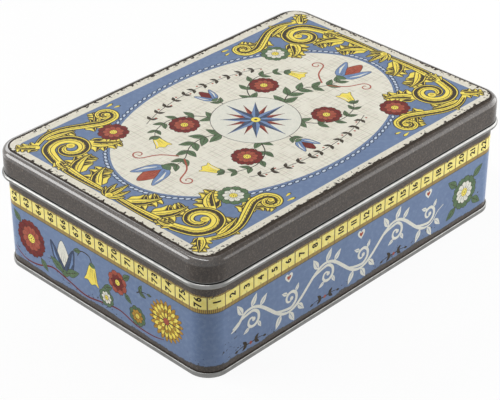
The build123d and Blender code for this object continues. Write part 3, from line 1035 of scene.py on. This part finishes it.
def linen_print(plan, x, y):
    """Cream linen paper ruled with faint uneven threads."""
    colour = plan.grain(0.10, 3).rise(0.3, 0.7).lay(shade(237, 234, 220), shade(231, 227, 212))
    for across, weight in ((x, 0.75), (y, 0.65)):
        for pitch, shift, tone in ((2.9, 0.0, shade(198, 182, 172)), (4.7, 0.7, shade(192, 198, 174))):
            share = (across + (plan.grain(0.02, 2) * 2.6 + shift)) / pitch
            share = share.math("FRACT", share)
            thread = 1 - (share.math("MINIMUM", share, 1 - share) * pitch).rise(0.06, 0.22)
            strength = plan.grain(0.12, 3, 0.6).rise(0.38, 0.60) * weight
            colour = (thread * strength).lay(tone, colour)
    return (plan.grain(0.9, 3, 0.7).rise(0.54, 0.7) * 0.3).lay(CREAM_GREY, colour)


lid_finishes = {
    "tin": tinplate,
    "panel": varnish("panel_print", panel_print, 0.50, gloss=0.04),
    "skirt": varnish("skirt_print", skirt_print, 0.25, 0.06, handled_shoulder),
    "linen": varnish("linen_print", linen_print, 0.50, gloss=0.04),
    **ink_finishes,
}

lid = Sheetwork()
lid_at = stations()
lid_faces = bent((PANEL_EDGE, TIN_HEIGHT - SHEET / 2), 0, [
    ("skirt", SHOULDER - SHEET / 2, -90, 12),
    ("skirt", TIN_HEIGHT - SHOULDER - NECK_TOP),
    ("neck", NECK_RADIUS, -NECK_ANGLE, 8),
    ("bead", BEAD_RADIUS, NECK_ANGLE + 360 - MOUTH_ANGLE, 36),
])
outer_lid, inner_lid = lid_faces
printed = [l for l in outer_lid if l[0] == "skirt"]
plain = [l for l in outer_lid if l[0] != "skirt"]
print_reach = printed[-1][-1]
lid_reach = outer_lid[-1][-1]
lid.carry(printed, lid_at, "skirt", strips(0, print_reach, 0.66, 0.045))
lid.carry(plain, lid_at, "tin", strips(print_reach, lid_reach, 0.84, 0.018))
lid.carry(inner_lid, lid_at, "tin", strips(0, lid_reach, 0.912, 0.010))
facing = (outer_lid[-1][4][1], -outer_lid[-1][4][0])
lid.carry([("cut", outer_lid[-1][3], facing, inner_lid[-1][3], facing, lid_reach, lid_reach)],
          lid_at, "tin", strips(0, lid_reach, 0.912, 0.010))
lid.plate(lid_at, PANEL_EDGE, TIN_HEIGHT - SHEET, -1, "tin", island(0.0, 0.952, 1.0, 0.048))


def star(radius):
    """A sixteen-point compass star pieced from light and dark halves, as on a quilt."""
    drawing = edged("cream", disc(0, 0, radius * 1.14, 48), 0.35)
    drawing += ring([("navy", stroke([(-0.9, 0, 0.5), (0.9, 0, 0.5)]))], 44, radius * 1.07)[:0]
    for tones, reach, waist, turn in ((("rust", "burgundy"), 0.80, 0.20, 22.5), (("sky", "navy"), 0.90, 0.24, 45), (("sky", "navy"), 1.04, 0.24, 0)):
        count = 8 if turn == 22.5 else 4
        for i in range(count):
            a = turn + 360 * i / count
            for side, tone in ((1, tones[0]), (-1, tones[1])):
                half = [(0, 0), (radius * waist, 0) if 0 else (radius * waist * cos(radians(22.5)) * 1.15, side * radius * waist * sin(radians(22.5)) * 1.15), (radius * reach, 0)]
                drawing += put(edged(tone, half, 0.16), 0, 0, a)
    drawing += edged("gold", disc(0, 0, radius * 0.12, 16), 0.2)
    drawing += [("line", disc(0, 0, radius * 0.04, 8))]
    return drawing


def gilded(points, hatch=True):
    """A gold scroll or leaf: a dark edge, a bright body, and a dark engraved furrow along its shaded side."""
    drawing = [("line", stroke(points, 1.2)), ("gold", stroke(points)),
               ("old_gold", stroke(points[1:], 0, -0.20, 0.46)), ("line", stroke(points[1:], 0, -0.24, 0.32))]
    marked = points[0][:2]
    if hatch:
        drawing.append(("line", stroke([(x, y, min(w, 4.0)) for x, y, w in points[1:]], 0, 0.24, 0.10)))
        for i in range(2, len(points) - 1):
            x, y, w = points[i]
            if w > 1.5 and hypot(x - marked[0], y - marked[1]) > 1.7:
                marked = (x, y)
                ax, ay, _ = points[i - 1]
                size = hypot(x - ax, y - ay) or 1
                tx, ty = (x - ax) / size, (y - ay) / size
                nx, ny = -ty, tx
                drawing.append(("line", stroke([
                    (x - nx * w * 0.20, y - ny * w * 0.20, 0.70),
                    (x + nx * w * 0.12 + tx * w * 0.40, y + ny * w * 0.12 + ty * w * 0.40, 0.06)])))
    return drawing


def frond(x, y, angle, length, width, curl, hatch=True):
    """A gold leaf tip that leaves a stem at an angle and curls by so many degrees."""
    points, count = [], 6
    for i in range(count + 1):
        share = i / count
        points.append((x, y, width * (0.5 + 0.5 * sin(pi * min(share * 1.3, 1) * 0.85)) * (1 - share ** 2.2)))
        heading = radians(angle + curl * share)
        x, y = x + cos(heading) * length / count, y + sin(heading) * length / count
    return gilded(points, hatch)


def plume(x, y, angle, length, width, curl, lobes=4):
    """A broad gold acanthus leaf: pairs of curled lobes up a bent spine, and the spine's own tip over them."""
    drawing, spine, count = [], [], 12
    for i in range(count + 1):
        heading = angle + curl * i / count
        spine.append((x, y, heading))
        x, y = x + cos(radians(heading)) * length / count, y + sin(radians(heading)) * length / count
    for lobe in range(lobes - 1, -1, -1):
        share = 0.12 + 0.62 * lobe / (lobes - 1)
        px, py, heading = spine[int(share * count)]
        reach = length * 0.52 * (1.1 - 0.5 * share)
        for side in (1, -1):
            drawing += frond(px, py, heading + side * 26, reach, width * 0.60 * (1.1 - 0.5 * share), side * 62, False)
    px, py, heading = spine[0]
    return drawing + frond(px, py, angle, length, width * 0.46, curl)


def gold_stem(line, widths, curl_ball=1.2):
    """A gold stem that ends in a curl round a ball."""
    drawing = gilded(tapered(line, *widths))
    x, y = line[-1]
    return drawing + edged("gold", disc(x, y, curl_ball, 14), 0.35) + [("old_gold", disc(x + 0.2, y - 0.25, curl_ball * 0.55, 10))]


def arc(rx, ry, start, end, count=24):
    return [(rx * cos(radians(start + (end - start) * i / count)), ry * sin(radians(start + (end - start) * i / count))) for i in range(count + 1)]


def wide(line, w): return [(x,y,w) for x,y in line]


def garland():
    d=[]
    for s in (1,-1):
        line=[(x,y*s) for x,y in arc(74,46.5,126,54,34)]
        d.append(("line", stroke(wide(line,0.4))))
        for i in range(2,33,3):
            (ax,ay),(bx,by)=line[i],line[i+1]
            a=degrees(atan2(by-ay,bx-ax))
            for side in (1,-1):
                d+=put([("line",blade(4.4,2.2))],ax,ay,a+side*48 if i<17 else a+180+side*48)
            d.append(("rust",disc(line[i+1][0]+0.9,line[i+1][1]+(1.7 if i%2 else -1.7),0.62,10)))
    return d


def corner():
    d=[]
    d+=plume(98,59,50,13,10,-20,3)
    d+=plume(91,64.0,186,18,11,24,3)
    d+=plume(101.5,27,128,21,15,66,4)
    d+=plume(101.6,10,118,19,14,62,4)
    d+=plume(77,46,250,19,14,-66,4)
    d+=plume(68,60,226,15,11,-50,3)
    d+=plume(62,57,150,13,9,-64,3)
    top = smooth([(97,62.5),(88,66.0),(78,65),(68,60),(59.5,55.4)]+spiral(52.5,60.5,6.2,1.5,-70,-1.25,8),4)
    d+=gold_stem(top,(2.4,4.8,4.8,4.0,3.0,1.4),1.6)
    volute = smooth([(102.4,3),(102.8,14),(102.6,26),(101.4,38)]+spiral(87.5,47.5,12.6,2.6,-8,1.4,8),5)
    d+=gold_stem(volute,(2.4,5.0,6.6,6.8,5.6,4.2,2.0),2.3)
    d+=plume(100.4,42,-62,10,8,-46,3)
    d+=put([("line",petal(5,2.4,0.6)),("gold",petal(4.4,1.7,0.6))],46,66.2,172)
    d+=put([("line",petal(4,2.2,0.6)),("gold",petal(3.4,1.5,0.6))],43.5,63.0,190)
    return d


def palmette():
    d=[]
    for a,l in ((180-70,9),(180+70,9),(180-40,12),(180+40,12),(180,14)):
        d+=frond(104.2,0,a,l,4.4,0 if a==180 else (38 if a<180 else -38))
    return d+edged("gold",disc(103.4,0,2.0,14),0.3)+[("old_gold",disc(103.8,-0.3,1.1,10))]


def star_spray():
    right=[]
    main=smooth([(21,0),(31,6),(43,5),(54,-2.0),(63,-3),(69,0)],6)
    right+=sprig(main[:-2],1.45,"green",4)
    right+=put(tulip(16.5,"sky","cream","rust"),66.5,-1.2,-86)
    up=smooth([(13,14),(20,26),(32,32),(44,29.5),(50,24)],6)
    right+=sprig(up,1.15,"green",4)
    right+=put(bellflower(10,"gold","cream"),50.2,23,196)
    right+=put(rosette(8.2,"burgundy","rust","gold",10),30,23.0)
    right+=sprig(smooth([(13,-14),(20,-26),(32,-32),(44,-29.5),(50,-24)],6),1.15,"green",4)
    right+=put(bellflower(10,"gold","cream"),50.2,-23,-16)
    right+=put(rosette(8.2,"burgundy","rust","gold",10),30,-23.0,0)
    for s in (1,-1):
        right.append(("rust",stroke(tapered(smooth([(54,2*s),(60,10*s),(68,14*s)],5)[:-1]+spiral(67,18*s,4.2,0.8,-80*s,1.2*s),0.9,0.8,0.5))))
    both = right + put(right,flip=True)
    for s in (1,-1):
        both += put(sprig([(0,0),(0,2),(0,4),(0,6),(0,8)],0.9,"green",2,first=1), 0, 24*s, 0 if s>0 else 180)
        both += put(tulip(10.5,"sky","cream","burgundy"),0,31*s,0 if s>0 else 180)
    return both


def panel_art():
    shapes = [("linen", arc(*OVAL, 0, 357, 119))]
    count = 132
    for i in range(count):
        a = radians(360 * i / count)
        x, y, turn = 91.0 * cos(a), 60.9 * sin(a), degrees(atan2(60.9 * cos(a), -91.0 * sin(a)))
        shapes += put([("navy", disc(0, 0, 2.1, 12, 0.64)), ("thread", disc(0, 0, 1.35, 10, 0.50))], x, y, turn + 14)
    spray = star_spray()
    shapes += spray
    shapes += star(21)
    shapes += garland()
    c=corner()
    shapes += c + put(c,flip=True) + put(c,turn=180) + put(c,turn=180,flip=True)
    p=palmette(); shapes += p+put(p,flip=True)
    for x,y,inks in ((61,44,("green","green")),(-61,44,("burgundy","rust")),(61,-44,("burgundy","rust")),(-61,-44,("green","green"))):
        shapes += put(rosette(8.2,inks[0],"cream" if inks[0]=="green" else inks[1],"gold",9),x,y,13)
    return shapes


lid_shapes = [(ink, [lean(loop)]) for ink, loop in panel_art()]
lid_outline = [round_tin(u, PANEL_EDGE, TIN_HEIGHT)[0][:2] for u in lid_at[:-1]]
places, triangles = cut_up(lid_outline, [], lid_shapes)
panel_bake = island(0.0, 0.0, 1.0, 0.655)
made = [lid.corner((*p, TIN_HEIGHT), (0, 0, 1), p, panel_bake(*p)) for p in places]
for corners, ink in triangles:
    lid.add(ink or "panel", [made[i] for i in corners])
print("lid faces", len(lid.faces), "wall faces", len(wall.faces))
lid.piece("printed_lid", "lid", "lid", lid_finishes)
